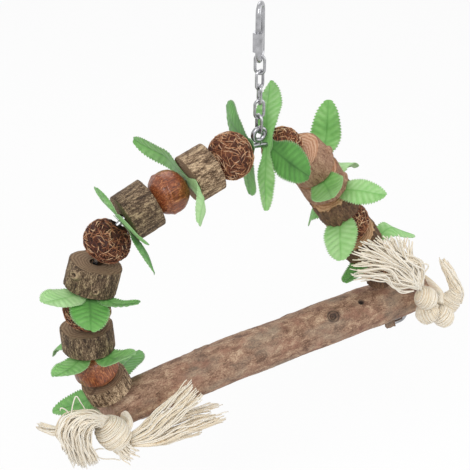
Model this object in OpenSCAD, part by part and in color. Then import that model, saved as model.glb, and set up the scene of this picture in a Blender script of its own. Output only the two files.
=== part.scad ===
// Hanging bird swing: a wood perch under a wire arch strung with husk balls, branch slices and leaves.
// The origin is the hang point, inside the top of the quick link. The arch lies in the XZ plane.

/* [Quick link] */
// Wire of the quick link
quick_wire = 4; // [3.5:0.1:4.2]
// Length over the two bows, outside
quick_length = 47; // [45:1:60]
// Width over the two legs, outside
quick_width = 17; // [16.6:0.2:20]
// Length of the hexagon sleeve nut
nut_length = 15; // [13:0.5:16]
// Size of the nut across its flats
nut_flats = 7; // [6.4:0.1:7.6]
// Depth of the nut's middle below the middle of its leg
nut_drop = 4.5; // [3:0.5:5]
// Gap in the leg that the nut closes
gate_gap = 7; // [5:0.5:8]
// Radial clearance of the nut on the leg
nut_clearance = 0.05; // [0.03:0.01:0.08]
// Turn of the quick link about the vertical, in degrees
quick_turn = 45; // [30:5:60]

/* [Chain] */
// Wire of the chain links
link_wire = 2.2; // [2:0.1:2.3]
// Length of the eye inside a link
link_eye_length = 12.4; // [11:0.2:16]
// Width of the eye inside a link
link_eye_width = 4.8; // [4.6:0.1:5.4]
// Gap left where one link hangs on the next
contact_gap = 0.25; // [0.2:0.05:0.3]

/* [Arch wire] */
// Wire of the arch
arch_wire_d = 4; // [3.5:0.1:4.2]
// Inside diameter of the ring at the top of the arch
eye_ring_d = 6; // [5.6:0.2:8]
// Diameter of the weld between the ring and the arch
weld_d = 3.4; // [3:0.2:3.8]
// Lean of the wire at the top of the arch, in degrees
crown_lean = 10.5; // [8:0.5:13]
// Bend radius of the left arm beside the ring
left_crown_radius = 75; // [70:1:85]
// Run of wire in that bend
left_crown_run = 34; // [30:1:38]
// Straight run of the left arm
left_flat_run = 70; // [64:1:76]
// Bend radius of the left shoulder
left_shoulder_radius = 57; // [54:1:62]
// Run of wire in the left shoulder
left_shoulder_run = 50; // [46:1:53]
// Bend radius of the left arm below its shoulder
left_leg_radius = 141; // [130:1:160]
// Bend radius of the right arm beside the ring
right_crown_radius = 76; // [70:1:84]
// Run of wire in that bend
right_crown_run = 52; // [48:1:56]
// Bend radius of the right shoulder
right_shoulder_radius = 126; // [110:1:140]
// Run of wire in the right shoulder
right_shoulder_run = 23; // [20:1:27]
// Bend radius of the hook under the perch
hook_radius = 6; // [5:0.5:8]
// Straight tail of the hook
hook_tail = 6; // [4:0.5:9]

/* [Husk balls] */
// Largest diameter of a husk ball
ball_d = 36; // [34:0.5:38]
// Length of a husk ball along the wire
ball_length = 32; // [29:0.5:33]
// Bore of the balls and slices
bead_bore = 10; // [9.6:0.2:10.6]
// Gap between neighbours on the wire
bead_gap = 0.3; // [0.3:0.1:0.6]

/* [Branch slices] */
// Diameter of a branch slice
slice_d = 39; // [37:0.5:41]
// Length of the longest slice
slice_length = 24; // [22:0.5:25]
// Diameter of the cut twig stubs on the slices
stub_d = 7; // [6:0.5:8]
// Length of those stubs beyond the bark
stub_length = 4; // [3:0.5:5]

/* [Leaves] */
// Length of the longest leaf from the wire
leaf_length = 58; // [54:1:60]
// Width of the widest leaf
leaf_width = 29; // [26:1:31]
// Thickness of a leaf
leaf_thickness = 0.5; // [0.4:0.05:0.5]
// Gap between two leaves on the wire
leaf_gap = 0.2; // [0.15:0.05:0.25]
// Clearance round the wire in a leaf
leaf_hole_clearance = 0.4; // [0.3:0.05:0.5]
// Room for the leaves between two beads
leaf_room = 2.4; // [2.4:0.1:3]

/* [Perch] */
// Length of the perch
perch_length = 310; // [300:1:320]
// Diameter of the perch at its middle
perch_d = 36; // [34:0.5:38]
// Rise of the perch's middle above its ends
perch_bow = 3; // [0:0.5:4]
// Shift of the perch to the right of the hang point
perch_shift = 15; // [8:1:16]
// Clearance round the wire in the perch
wire_hole_clearance = 0.05; // [0.05:0.05:0.2]
// Gap between the feet of the arms and the bark of the perch
foot_gap = 2.6; // [2:0.2:5]
// Clearance of the leaves above the bark of the perch
leaf_clearance = 0.6; // [0.6:0.1:2]
// Diameter of the broken twig under the perch
twig_d = 9; // [7:0.5:11]
// Length of that twig
twig_length = 7; // [5:0.5:9]

/* [Cotton rope] */
// Diameter of the rope
rope_d = 8; // [7:0.5:8]
// Clearance round the rope in the perch
rope_clearance = 0.4; // [0.3:0.1:0.5]
// Distance of the rope holes from the ends of the perch
rope_inset = 9; // [9:0.5:11]
// Diameter of a knot
knot_d = 28; // [26:0.5:29]
// Length of the longest frayed tassel
tassel_length = 115; // [105:1:120]
// Greatest width of a tassel
tassel_width = 46; // [40:1:48]
// Greatest thickness of a tassel
tassel_thickness = 15; // [12:0.5:16]

/* [Hidden] */
$fn = 48;

// Overrun of every cut
cut = 1;

// Turn of each link about the vertical, from the quick link down, in degrees
link_turns = [-45, 15, 75, -15, 90];
link_count = len(link_turns);

// What is strung on each arm, from the ring to the perch
left_kinds = [
  "leaf", "ball", "slice", "leaf", "ball", "slice", "leaf", "ball", "slice",
  "leaf", "ball", "slice", "leaf", "ball", "slice", "leaf",
];
right_kinds = [
  "leaf", "ball", "slice", "leaf", "slice", "leaf", "slice", "leaf", "ball", "slice",
  "leaf", "ball", "slice",
];
left_counts = [5, 5, 6];

// Sizes of the pieces in shares of the sizes above, left arm first
ball_length_shares = [1, 0.9, 0.92, 0.93, 0.96, 0.86, 0.95, 0.88];
ball_d_shares = [1, 0.94, 0.97, 0.98, 1, 0.92, 0.97, 0.94];
slice_length_shares = [0.88, 1, 0.88, 0.78, 0.56, 0.94, 0.88, 0.9, 0.92, 0.42];
slice_d_shares = [1, 0.98, 1, 1.02, 0.97, 0.97, 0.92, 0.95, 0.95, 0.72];
slice_bore_shares = [1, 1, 1, 1.15, 1.15, 1, 1, 1, 1, 1.1];
leaf_room_shares = [1.1, 1, 2.2, 1.3, 1.6, 1, 1.2, 2.2, 2.2, 1, 1];
// Room after each ball for the bend that the slice next to it follows, as a share of the ball
ball_room_shares = [0.015, 0, 0.1, 0.03, 0.03, 0.1, 0, 0.04];

// Tilts of the slices and of the sprigs on the wire, and the side that each tips towards, in degrees
slice_tilts = [
  [0, 0], [0, 0], [0, 0], [10, -120], [12, -120], [0, 0], [0, 0], [0, 0], [0, 0], [12, 0],
];
leaf_tilts = [
  [4, 0], [0, 0], [0, 0], [0, 0], [6, -120], [12, -120], [8, 0], [0, 0], [0, 0], [0, 0], [0, 0],
];

// Bend marks on the arch wire, and the seam inside each, as shares of the wire
bend_mark_share = 0.02;
seam_share = 0.04;

// How far a bead sags on the wire, as a share of the play in its bore
bead_sag_share = 0.73;

// Outline of a slice: corners, and ripples as a share of its radius, a count, and a turn from slice to slice
slice_corners = 28;
slice_ripples = [[0.022, 2, 70], [0.014, 3, 130], [0.01, 5, 40]];
// Cut twig stubs: slice, direction in degrees, height as a share of the slice, size share
slice_stubs = [[2, 200, -0.25, 1], [2, 250, 0.15, 0.7], [5, 210, 0.1, 0.8], [6, -130, 0, 1]];

// Leaves of each sprig: direction and bend in degrees, length share, width share
leaf_sets = [
  [[10, -14, 0.86, 0.7], [105, -20, 0.86, 0.95]],
  [[105, 20, 1, 0.85], [-90, 40, 0.95, 0.9]],
  [[-165, -8, 0.86, 0.75], [-112, -3, 0.95, 1], [-84, 16, 1, 0.75]],
  [[-160, -12, 0.86, 0.9], [-70, -30, 0.86, 0.6], [-115, 10, 0.86, 1]],
  [[-75, -30, 0.95, 0.8], [-150, -20, 0.8, 0.8], [110, 50, 0.86, 0.9]],
  [[160, -10, 0.86, 1], [40, 20, 0.86, 0.9]],
  [[-30, 4, 0.86, 0.7], [145, 10, 0.86, 1], [-88, 12, 0.86, 1]],
  [[150, -30, 1, 1], [-75, -30, 0.9, 1]],
  [[-120, 10, 0.86, 0.8], [140, 60, 1, 1]],
  [[-50, 10, 0.86, 1], [60, 60, 0.86, 0.9]],
  [[-30, -30, 0.75, 0.65], [180, 65, 1, 0.8]],
];
// Half outline of a leaf: place along it and width, both as shares
leaf_outline_shares = [
  [-0.12, 0.22], [-0.05, 0.36], [0.1, 0.4], [0.2, 0.56], [0.32, 0.82], [0.45, 0.98], [0.55, 1], [0.66, 0.93],
  [0.76, 0.78], [0.85, 0.57], [0.93, 0.32], [1, 0.05],
];
// Run of a leaf past the rim of a slice before it bends, as a share of the slice's radius
leaf_flat_share = 0.08;
// Fold along a leaf's midrib, as a share of its half width
leaf_fold_share = 0.04;
// Length over which a leaf bends, as a share of its length
leaf_bend_share = 0.2;

// Perch: rings along it, corners of a ring, and widths from left to right as shares of its diameter
perch_stations = 24;
perch_corners = 20;
perch_width_shares = [0.86, 0.88, 0.93, 0.97, 1, 1.01, 1, 0.99, 1.01, 1, 0.97, 0.93, 0.84];
// Ripples as a share of its radius, a count, and a turn from end to end in degrees
perch_ripples = [[0.018, 2, 400], [0.012, 3, 900]];
// Slant of the sawn left end, and the share of the length that it fades over
perch_slant_share = 0.16;
perch_slant_run_share = 0.05;
// Broken twig: its place along the perch from the middle, and its lean in degrees
twig_place_share = 0.375;
twig_direction = 25;

// Rope: how far it stands off the perch, as shares of its diameter
rope_off_share = 0.85;
rope_end_share = 1.15;
rope_turn_share = 0.7;
rope_stop_share = 0.35;
corner_share = 0.25;
// Place of a knot from the end of the perch, and its lobes, in shares of its diameter
knot_side_shares = [0.14, -1.1, -0.11];
right_knot_side_shares = [-0.12, -1.1, -0.23];
knot_lobe_shares = [[0, 0, 0, 1], [0.1, -0.08, -0.16, 0.96], [-0.08, 0, 0.14, 0.9]];
right_lobe_shares = [[-0.1, 0, 0.2, 0.82], [-0.05, 0, -0.3, 0.86], [0.42, -0.05, -0.16, 0.88]];

// Tassels: points from the knot in shares of the tassel length, then width and thickness shares
left_tassel_shares = [
  [0.1, -0.02, -0.08, 0.25, 0.6], [0.24, -0.02, -0.13, 0.5, 0.8], [0.42, -0.02, -0.11, 0.75, 1],
  [0.6, -0.02, -0.1, 1, 0.9], [0.76, -0.02, -0.08, 1.05, 0.7], [0.9, -0.02, -0.06, 0.9, 0.4],
];
left_side_shares = [
  [-0.08, 0.02, 0.1, 0.35, 0.8], [-0.2, 0.04, 0.18, 0.5, 1], [-0.32, 0.05, 0.14, 0.6, 1],
  [-0.36, 0.05, 0, 0.62, 1], [-0.3, 0.04, -0.14, 0.55, 0.8], [-0.24, 0.04, -0.22, 0.35, 0.4],
];
right_tassel_shares = [
  [-0.04, -0.03, 0.07, 0.25, 0.5], [-0.13, -0.02, 0.18, 0.4, 0.7],
  [-0.26, 0, 0.34, 0.75, 0.9], [-0.4, -0.02, 0.5, 1, 1],
  [-0.54, -0.02, 0.64, 1.05, 0.9], [-0.64, -0.02, 0.74, 0.95, 0.6], [-0.7, -0.02, 0.8, 0.8, 0.35],
];
right_side_shares = [
  [0.12, 0, -0.05, 0.2, 0.6], [0.2, 0.05, -0.02, 0.3, 0.8],
  [0.28, 0.12, 0.06, 0.4, 0.9], [0.28, 0.16, 0.16, 0.4, 0.8],
  [0.24, 0.18, 0.26, 0.3, 0.6], [0.19, 0.19, 0.34, 0.15, 0.4],
];
tube_corners = 12;

// Quick link: radius of its bows, and the heights of their centres
quick_bow_r = (quick_width - quick_wire) / 2;
quick_eye_r = quick_bow_r - quick_wire / 2;
quick_top_z = -quick_eye_r;
quick_bottom_z = quick_eye_r - (quick_length - 2 * quick_wire);
quick_mid_z = (quick_top_z + quick_bottom_z) / 2;
quick_hang_z = quick_bottom_z - quick_eye_r;
gate_top_z = quick_mid_z - nut_drop + gate_gap / 2;
gate_bottom_z = gate_top_z - gate_gap;

// Chain: pitch, and the height inside the top of each link
link_pitch = link_eye_length - contact_gap;
link_bow_r = (link_eye_width + link_wire) / 2;
function link_top_z(i) = quick_hang_z + contact_gap - i * link_pitch;

// Arch: the eye ring hangs in the last link, and the wire passes just below it
eye_top_z = link_top_z(link_count);
eye_ring_r = eye_ring_d / 2 + arch_wire_d / 2;
eye_outer_r = eye_ring_d / 2 + arch_wire_d;
eye_centre_z = eye_top_z - eye_ring_d / 2;
weld_gap = contact_gap;
apex_z = eye_centre_z - eye_outer_r - weld_gap - arch_wire_d / 2;

// Lengths strung on the arms
function count_of(kinds, kind, last) = len([for (j = [0:1:last]) if (kinds[j] == kind) j]);
function kinds_of(side) = side < 0 ? left_kinds : right_kinds;
function kind_row(kind) = kind == "ball" ? 0 : kind == "slice" ? 1 : 2;
function number_of(side, i) =
  let (kind = kinds_of(side)[i])
  count_of(kinds_of(side), kind, i) - 1 + (side < 0 ? 0 : left_counts[kind_row(kind)]);
function piece_length(side, i) =
  let (kind = kinds_of(side)[i], n = number_of(side, i))
  kind == "ball" ? ball_length * ball_length_shares[n]
  : kind == "slice" ? slice_length * slice_length_shares[n]
  : leaf_room * leaf_room_shares[n];
function room_after(side, i) =
  bead_gap + (kinds_of(side)[i] == "ball" ? ball_length * ball_room_shares[number_of(side, i)] : 0);
function run_before(side, i) =
  i <= 0 ? 0 : run_before(side, i - 1) + piece_length(side, i - 1) + room_after(side, i - 1);
// The first sprig of each arm stands just outside the ring
stack_start = eye_outer_r - leaf_room / 4;
function stack_run(side) = stack_start + run_before(side, len(kinds_of(side)));
left_run = stack_run(-1);
right_run = stack_run(1);

// Arms as runs and bend radii, where a radius of zero is straight
left_leg_run = left_run - left_crown_run - left_flat_run - left_shoulder_run;
right_leg_run = right_run - right_crown_run - right_shoulder_run;
left_runs = [
  [left_crown_run, left_crown_radius], [left_flat_run, 0], [left_shoulder_run, left_shoulder_radius],
  [left_leg_run, left_leg_radius],
];
right_runs = [
  [right_crown_run, right_crown_radius], [right_shoulder_run, right_shoulder_radius], [right_leg_run, 0],
];
function arm_runs(side) = side < 0 ? left_runs : right_runs;
function arm_top(side) = [0, apex_z, side * crown_lean];

// A point on an arm is its distance out, its height and its slope below the horizontal
function step_on(p, run, r) =
  r == 0 ? [p[0] + run * cos(p[2]), p[1] - run * sin(p[2]), p[2]]
  : let (slope = p[2] + run / r * 180 / PI)
    [p[0] + r * (sin(slope) - sin(p[2])), p[1] + r * (cos(slope) - cos(p[2])), slope];
function along(runs, s, p, i = 0) =
  i == len(runs) - 1 || s <= runs[i][0] ? step_on(p, s, runs[i][1])
  : along(runs, s - runs[i][0], step_on(p, runs[i][0], runs[i][1]), i + 1);
function on_wire(side, s) = along(arm_runs(side), s, arm_top(side));

// Where a ball, slice or sprig sits: its arm and its place in the row
function index_in(kinds, kind, n) = [for (i = [0:len(kinds) - 1]) if (kinds[i] == kind) i][n];
function arm_of(kind, n) = n < left_counts[kind_row(kind)] ? -1 : 1;
function row_of(kind, n) =
  let (side = arm_of(kind, n))
  index_in(kinds_of(side), kind, side < 0 ? n : n - left_counts[kind_row(kind)]);
function middle_of(kind, n) =
  let (side = arm_of(kind, n), i = row_of(kind, n))
  stack_start + run_before(side, i) + piece_length(side, i) / 2;

// Leaves: flat run, pitch on the wire, and the place along one that lies flat past the bead's rim, then bends
leaf_flat = slice_d / 2 * (1 + leaf_flat_share);
leaf_pitch = leaf_thickness + leaf_gap;
function leaf_shift(i, count) = (i - (count - 1) / 2) * leaf_pitch;
function leaf_place(run, flat, bend, bend_run) =
  let (
    angle = run <= flat ? 0 : bend * min(1, (run - flat) / bend_run),
    r = bend_run / (abs(bend) * PI / 180),
    curved = abs(angle),
    rest = max(0, run - flat - bend_run)
  )
  [
    min(run, flat) + r * sin(curved) + rest * cos(curved),
    sign(bend) * (r * (1 - cos(curved)) + rest * sin(curved)),
    angle,
  ];

// A point of a sprig's own frame, in the part
function turned(v, a) = [v[0] * cos(a) - v[1] * sin(a), v[0] * sin(a) + v[1] * cos(a), v[2]];
function leaned(v, a) = [v[0] * cos(a) + v[2] * sin(a), v[1], v[2] * cos(a) - v[0] * sin(a)];
function on_sprig(v, side, p, tilt) =
  let (q = leaned(turned(leaned(turned(v, -tilt[1]), tilt[0]), tilt[1]), 90 + p[2]))
  [side * (p[0] + q[0]), q[1], p[1] + q[2]];

// Points spread over the leaves, which the perch keeps clear of
leaf_probe_shares = [0:0.04:1];
leaf_probe_widths_share = [-1:0.5:1];
leaf_points = [
  for (n = [0:len(leaf_sets) - 1])
    let (side = arm_of("leaf", n), p = on_wire(side, middle_of("leaf", n)), leaves = leaf_sets[n])
      for (i = [0:len(leaves) - 1])
        let (set = leaves[i], length = leaf_length * set[2])
          for (share = leaf_probe_shares, wide = leaf_probe_widths_share)
            let (
              place = leaf_place(length * share, leaf_flat, set[1], length * leaf_bend_share),
              half = leaf_width * set[3] / 2 * lookup(share, leaf_outline_shares),
              v = [place[0], wide * half, place[1] + leaf_shift(i, len(leaves))]
            )
              on_sprig(turned(v, set[0]), side, p, leaf_tilts[n])
];

// Value between two others, and value at a share of the way along a list of evenly spaced values
function between(a, b, share) = a + share * (b - a);
function spread(values, share) =
  let (at = share * (len(values) - 1), i = min(floor(at), len(values) - 2))
  between(values[i], values[i + 1], at - i);

// Perch: its bark lies just below both feet of the wire and the lowest leaves
function foot_of(side) = on_wire(side, side < 0 ? left_run : right_run);
perch_left_x = perch_shift - perch_length / 2;
perch_right_x = perch_shift + perch_length / 2;
function perch_share(x) = min(1, max(0, (x - perch_left_x) / perch_length));
function perch_r(share) = perch_d / 2 * spread(perch_width_shares, share);
function perch_rise(share) = perch_bow * (4 * share * (1 - share) - 1);
function bark_above_axis(x, y) =
  let (share = perch_share(x))
  perch_rise(share) + sqrt(perch_r(share) ^ 2 - y ^ 2);
function over_perch(p) =
  p[0] > perch_left_x && p[0] < perch_right_x && abs(p[1]) < perch_r(perch_share(p[0]));
perch_z = min(concat(
  [for (side = [-1, 1]) foot_of(side)[1] - foot_gap - bark_above_axis(side * foot_of(side)[0], 0)],
  [for (p = leaf_points) if (over_perch(p)) p[2] - leaf_clearance - bark_above_axis(p[0], p[1])]
));

// Feet of the wire: straight through the perch, then hooked back under it
function foot_run(side) =
  (foot_of(side)[1] - (perch_z - perch_d / 2 - arch_wire_d / 2)) / sin(foot_of(side)[2]);
function hook_run(side) = hook_radius * (180 - foot_of(side)[2]) * PI / 180;
function wire_runs(side) =
  concat(arm_runs(side), [[foot_run(side), 0], [hook_run(side), hook_radius], [hook_tail, 0]]);
function run_sum(runs, i) = i <= 0 ? 0 : run_sum(runs, i - 1) + runs[i - 1][0];
bend_mark_d = arch_wire_d * (1 + bend_mark_share);
seam = arch_wire_d * seam_share;

// Knots stand in front of the ends of the perch
rope_hole_r = rope_d / 2 + rope_clearance;
left_rope_x = perch_left_x + rope_inset;
right_rope_x = perch_right_x - rope_inset;
function knot_place(x, shares) = [x, 0, perch_z] + knot_d * shares;
left_knot = knot_place(perch_left_x - rope_d, knot_side_shares);
right_knot = knot_place(perch_right_x, right_knot_side_shares);

// Arc of round wire in the XZ plane, from one angle above +X through a turn
module wire_arc(r, wire, from, turn) {
  rotate([90, 0, 0])
    rotate([0, 0, from])
      rotate_extrude(angle = turn)
        translate([r, 0])
          circle(d = wire);
}

module quick_link_body() {
  leg_x = quick_bow_r;
  color("silver")
    rotate([0, 0, quick_turn])
      union() {
        translate([0, 0, quick_top_z])
          wire_arc(quick_bow_r, quick_wire, 0, 180);
        translate([0, 0, quick_bottom_z])
          wire_arc(quick_bow_r, quick_wire, 180, 180);
        translate([leg_x, 0, quick_bottom_z])
          cylinder(d = quick_wire, h = quick_top_z - quick_bottom_z);
        translate([-leg_x, 0, gate_top_z])
          cylinder(d = quick_wire, h = quick_top_z - gate_top_z);
        translate([-leg_x, 0, quick_bottom_z])
          cylinder(d = quick_wire, h = gate_bottom_z - quick_bottom_z);
      }
}

module quick_link_nut() {
  nut_z = quick_mid_z - nut_drop - nut_length / 2;
  color("gainsboro")
    rotate([0, 0, quick_turn])
      translate([-quick_bow_r, 0, nut_z])
        difference() {
          cylinder(d = nut_flats / cos(30), h = nut_length, $fn = 6);
          translate([0, 0, -cut])
            cylinder(d = quick_wire + 2 * nut_clearance, h = nut_length + 2 * cut);
        }
}

module chain_link(i) {
  top_z = link_top_z(i);
  upper_z = top_z - link_eye_width / 2;
  lower_z = top_z - link_eye_length + link_eye_width / 2;
  color("silver")
    rotate([0, 0, link_turns[i]])
      union() {
        translate([0, 0, upper_z])
          wire_arc(link_bow_r, link_wire, 0, 180);
        translate([0, 0, lower_z])
          wire_arc(link_bow_r, link_wire, 180, 180);
        for (x = [-link_bow_r, link_bow_r])
          translate([x, 0, lower_z])
            cylinder(d = link_wire, h = upper_z - lower_z);
      }
}

// Children stand on an arm's wire: +Z runs down the wire, and +X points inside the arch
module on_arm(side, s) {
  p = on_wire(side, s);
  mirror([side < 0 ? 1 : 0, 0, 0])
    translate([p[0], 0, p[1]])
      rotate([0, 90 + p[2], 0])
        children();
}

// One run of wire from a point on an arm
module wire_run(p, run, r) {
  if (r == 0)
    translate([p[0], 0, p[1]])
      rotate([0, 90 + p[2], 0])
        cylinder(d = arch_wire_d, h = run);
  else
    translate([p[0] - r * sin(p[2]), 0, p[1] - r * cos(p[2])])
      wire_arc(r, arch_wire_d, 90 - p[2] - run / r * 180 / PI, run / r * 180 / PI);
}

// The runs of an arm, each a little short of the next, with a bend mark over every seam
module arm_wire(side) {
  runs = wire_runs(side);
  last = len(runs) - 1;
  mirror([side < 0 ? 1 : 0, 0, 0])
    for (i = [0:last]) {
      start = run_sum(runs, i);
      trim = i < last ? 2 * seam : seam;
      p = along(runs, start, arm_top(side));
      wire_run(along(runs, start + seam, arm_top(side)), runs[i][0] - trim, runs[i][1]);
      if (i > 0)
        translate([p[0], 0, p[1]])
          sphere(d = bend_mark_d);
    }
}

module arch_wire() {
  color("darkgray")
    union() {
      arm_wire(-1);
      arm_wire(1);
      translate([0, 0, apex_z])
        sphere(d = bend_mark_d);
      translate([0, 0, eye_centre_z])
        rotate([90, 0, 0])
          rotate_extrude()
            translate([eye_ring_r, 0])
              circle(d = arch_wire_d);
      translate([0, 0, apex_z])
        cylinder(d = weld_d, h = eye_centre_z - eye_ring_r - apex_z);
    }
}

module on_bead(kind, n, sag, tilt) {
  side = arm_of(kind, n);
  s = middle_of(kind, n);
  drop = sag * cos(on_wire(side, s)[2]);
  on_arm(side, s)
    translate([drop, 0, 0])
      rotate([0, 0, tilt[1]])
        rotate([0, tilt[0], 0])
          rotate([0, 0, -tilt[1]])
            children();
}

bead_sag = bead_sag_share * (bead_bore - arch_wire_d) / 2;

module ball(n) {
  d = ball_d * ball_d_shares[n];
  length = ball_length * ball_length_shares[n];
  color("saddlebrown")
    on_bead("ball", n, bead_sag, [0, 0])
      rotate_extrude()
        intersection() {
          translate([(d - length) / 2, 0])
            circle(d = length);
          translate([bead_bore / 2, -length / 2])
            square([d / 2, length]);
        }
}

// Sum of ripples round a branch, where the turn moves along it with the place
function ripple_sum(ripples, t, place, i = 0) =
  i == len(ripples) ? 0
  : ripples[i][0] * sin(ripples[i][1] * t + ripples[i][2] * place) + ripple_sum(ripples, t, place, i + 1);
function slice_point(r, n, t) = r * (1 + ripple_sum(slice_ripples, t, n)) * [cos(t), sin(t)];

module slice(n) {
  r = slice_d * slice_d_shares[n] / 2;
  length = slice_length * slice_length_shares[n];
  bore = bead_bore * slice_bore_shares[n];
  color("peru")
    on_bead("slice", n, bead_sag, slice_tilts[n])
      difference() {
        union() {
          translate([0, 0, -length / 2])
            linear_extrude(height = length)
              polygon([for (k = [0:slice_corners - 1]) slice_point(r, n, 360 * k / slice_corners)]);
          for (stub = slice_stubs)
            if (stub[0] == n)
              translate([0, 0, length * stub[2]])
                rotate([0, 90, stub[1]])
                  cylinder(d = stub_d * stub[3], h = r + stub_length);
        }
        translate([0, 0, -length / 2 - cut])
          cylinder(d = bore, h = length + 2 * cut);
      }
}

// Closed skin over rings of points, with a flat cap at each end that fans out from its second point
module skin(rings) {
  n = len(rings[0]);
  m = len(rings);
  last = (m - 1) * n;
  polyhedron(
    points = [for (ring = rings) each ring],
    faces = concat(
      [for (i = [2:n - 1]) [1, i, (i + 1) % n]],
      [for (i = [2:n - 1]) [last + 1, last + (i + 1) % n, last + i]],
      [
        for (j = [0:m - 2], i = [0:n - 1])
          let (a = j * n + i, b = j * n + (i + 1) % n)
            each [[a, a + n, b], [b, a + n, b + n]]
      ]
    )
  );
}

module leaf(turn, bend, length, width) {
  rings = [
    for (share = leaf_outline_shares)
      let (
        p = leaf_place(length * share[0], leaf_flat, bend, length * leaf_bend_share),
        half = width / 2 * share[1],
        fold = half * leaf_fold_share * (length * share[0] > leaf_flat ? sign(bend) : 0),
        up = [-sin(p[2]), 0, cos(p[2])],
        mid = [p[0], 0, p[1]],
        skin_half = leaf_thickness / 2 * up,
        edge = mid + fold * up
      )
      [
        edge + [0, -half, 0] - skin_half,
        mid - skin_half,
        edge + [0, half, 0] - skin_half,
        edge + [0, half, 0] + skin_half,
        mid + skin_half,
        edge + [0, -half, 0] + skin_half,
      ]
  ];
  rotate([0, 0, turn])
    skin(rings);
}

// The wire pierces the leaves of a sprig, which are stacked on it
module leaf_sprig(n) {
  leaves = leaf_sets[n];
  color("forestgreen")
    on_bead("leaf", n, 0, leaf_tilts[n])
      for (i = [0:len(leaves) - 1])
        translate([0, 0, leaf_shift(i, len(leaves))])
          difference() {
            leaf(leaves[i][0], leaves[i][1], leaf_length * leaves[i][2], leaf_width * leaves[i][3]);
            translate([0, 0, -leaf_thickness / 2 - cut])
              cylinder(r = arch_wire_d / 2 + leaf_hole_clearance, h = leaf_thickness + 2 * cut);
          }
}

function perch_point(share, t) =
  let (
    r = perch_r(share) * (1 + ripple_sum(perch_ripples, t, share)),
    slant = perch_slant_share * max(0, 1 - share / perch_slant_run_share),
    x = perch_left_x + perch_length * share - slant * r * cos(t)
  )
  [x, r * cos(t), perch_z + perch_rise(share) + r * sin(t)];

module perch_hole(side) {
  on_arm(side, side < 0 ? left_run : right_run)
    translate([0, 0, -perch_d])
      cylinder(r = arch_wire_d / 2 + wire_hole_clearance, h = foot_run(side) + 2 * perch_d);
}

module perch() {
  color("rosybrown")
    difference() {
      union() {
        skin([
          for (j = [0:perch_stations])
            [for (k = [0:perch_corners - 1]) perch_point(j / perch_stations, 360 * k / perch_corners)]
        ]);
        translate([perch_shift + perch_length * twig_place_share, 0, perch_z])
          rotate([180 - twig_direction, 0, 0])
            cylinder(d = twig_d, h = perch_d / 2 + twig_length);
      }
      perch_hole(-1);
      perch_hole(1);
      for (x = [left_rope_x, right_rope_x])
        translate([x, perch_d, perch_z])
          rotate([90, 0, 0])
            cylinder(r = rope_hole_r, h = 2 * perch_d);
    }
}

// Tube along points, where each ring is as wide and thick as its sizes say
function unit(v) = v / norm(v);
function heading(points, i) = unit(points[min(i + 1, len(points) - 1)] - points[max(i - 1, 0)]);
module tube(points, sizes, side_of) {
  skin([
    for (i = [0:len(points) - 1])
      let (
        ahead = heading(points, i),
        across = unit(cross(side_of, ahead)),
        over = cross(ahead, across)
      )
      [
        for (k = [0:tube_corners - 1])
          let (t = 360 * k / tube_corners)
            points[i] + sizes[i][0] / 2 * cos(t) * across + sizes[i][1] / 2 * sin(t) * over
      ]
  ]);
}

module tassel(knot, shares) {
  color("antiquewhite")
    tube(
      [for (s = shares) knot + tassel_length * [s[0], s[1], s[2]]],
      [for (s = shares) [tassel_width * s[3], tassel_thickness * s[4]]],
      [0, 1, 0]
    );
}

module knot(place, lobes) {
  color("linen")
    for (lobe = lobes)
      translate(place + knot_d * [lobe[0], lobe[1], lobe[2]])
        sphere(d = knot_d * lobe[3]);
}

// Corners of an open path cut back by a share of its legs, which rounds it
function rounded(points) = [
  points[0],
  for (i = [0:len(points) - 2])
    let (a = points[i], b = points[i + 1])
      each [between(a, b, corner_share), between(a, b, 1 - corner_share)],
  points[len(points) - 1],
];

// Rope from the knot through the perch and back round its end to the knot, its two ends apart inside the knot
module rope(rope_x, end_x, out, place) {
  off_y = perch_d / 2 + rope_d * rope_off_share;
  out_x = end_x + out * rope_d * rope_end_share;
  first = [rope_x, -off_y, perch_z];
  last = [out_x, -off_y * rope_turn_share, perch_z];
  path = rounded(rounded([
    between(place, first, rope_stop_share),
    first,
    [rope_x, 0, perch_z],
    [rope_x, off_y, perch_z],
    [out_x, off_y, perch_z],
    last,
    between(place, last, rope_stop_share),
  ]));
  color("antiquewhite")
    tube(path, [for (p = path) [rope_d, rope_d]], [0, 0, 1]);
}

module left_rope() {
  rope(left_rope_x, perch_left_x, -1, left_knot);
}

module right_rope() {
  rope(right_rope_x, perch_right_x, 1, right_knot);
}

module left_knot() {
  knot(left_knot, knot_lobe_shares);
}

module right_knot() {
  knot(right_knot, right_lobe_shares);
}

quick_link_body();
quick_link_nut();
for (i = [1:link_count])
  chain_link(i - 1);
arch_wire();
perch();
for (n = [1:len(ball_d_shares)])
  ball(n - 1);
for (n = [1:len(slice_d_shares)])
  slice(n - 1);
for (n = [1:len(leaf_sets)])
  leaf_sprig(n - 1);
left_rope();
left_knot();
tassel(left_knot, left_tassel_shares);  // left_tassel
tassel(left_knot, left_side_shares);  // left_side_tassel
right_rope();
right_knot();
tassel(right_knot, right_tassel_shares);  // right_tassel
tassel(right_knot, right_side_shares);  // right_side_tassel
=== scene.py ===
"""Bird swing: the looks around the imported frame. Metres in Blender, millimetres in the tables."""

import math
import random
from math import cos, hypot, pi, radians, sin, tau

import bpy
from mathutils import Matrix, Vector, noise

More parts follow.
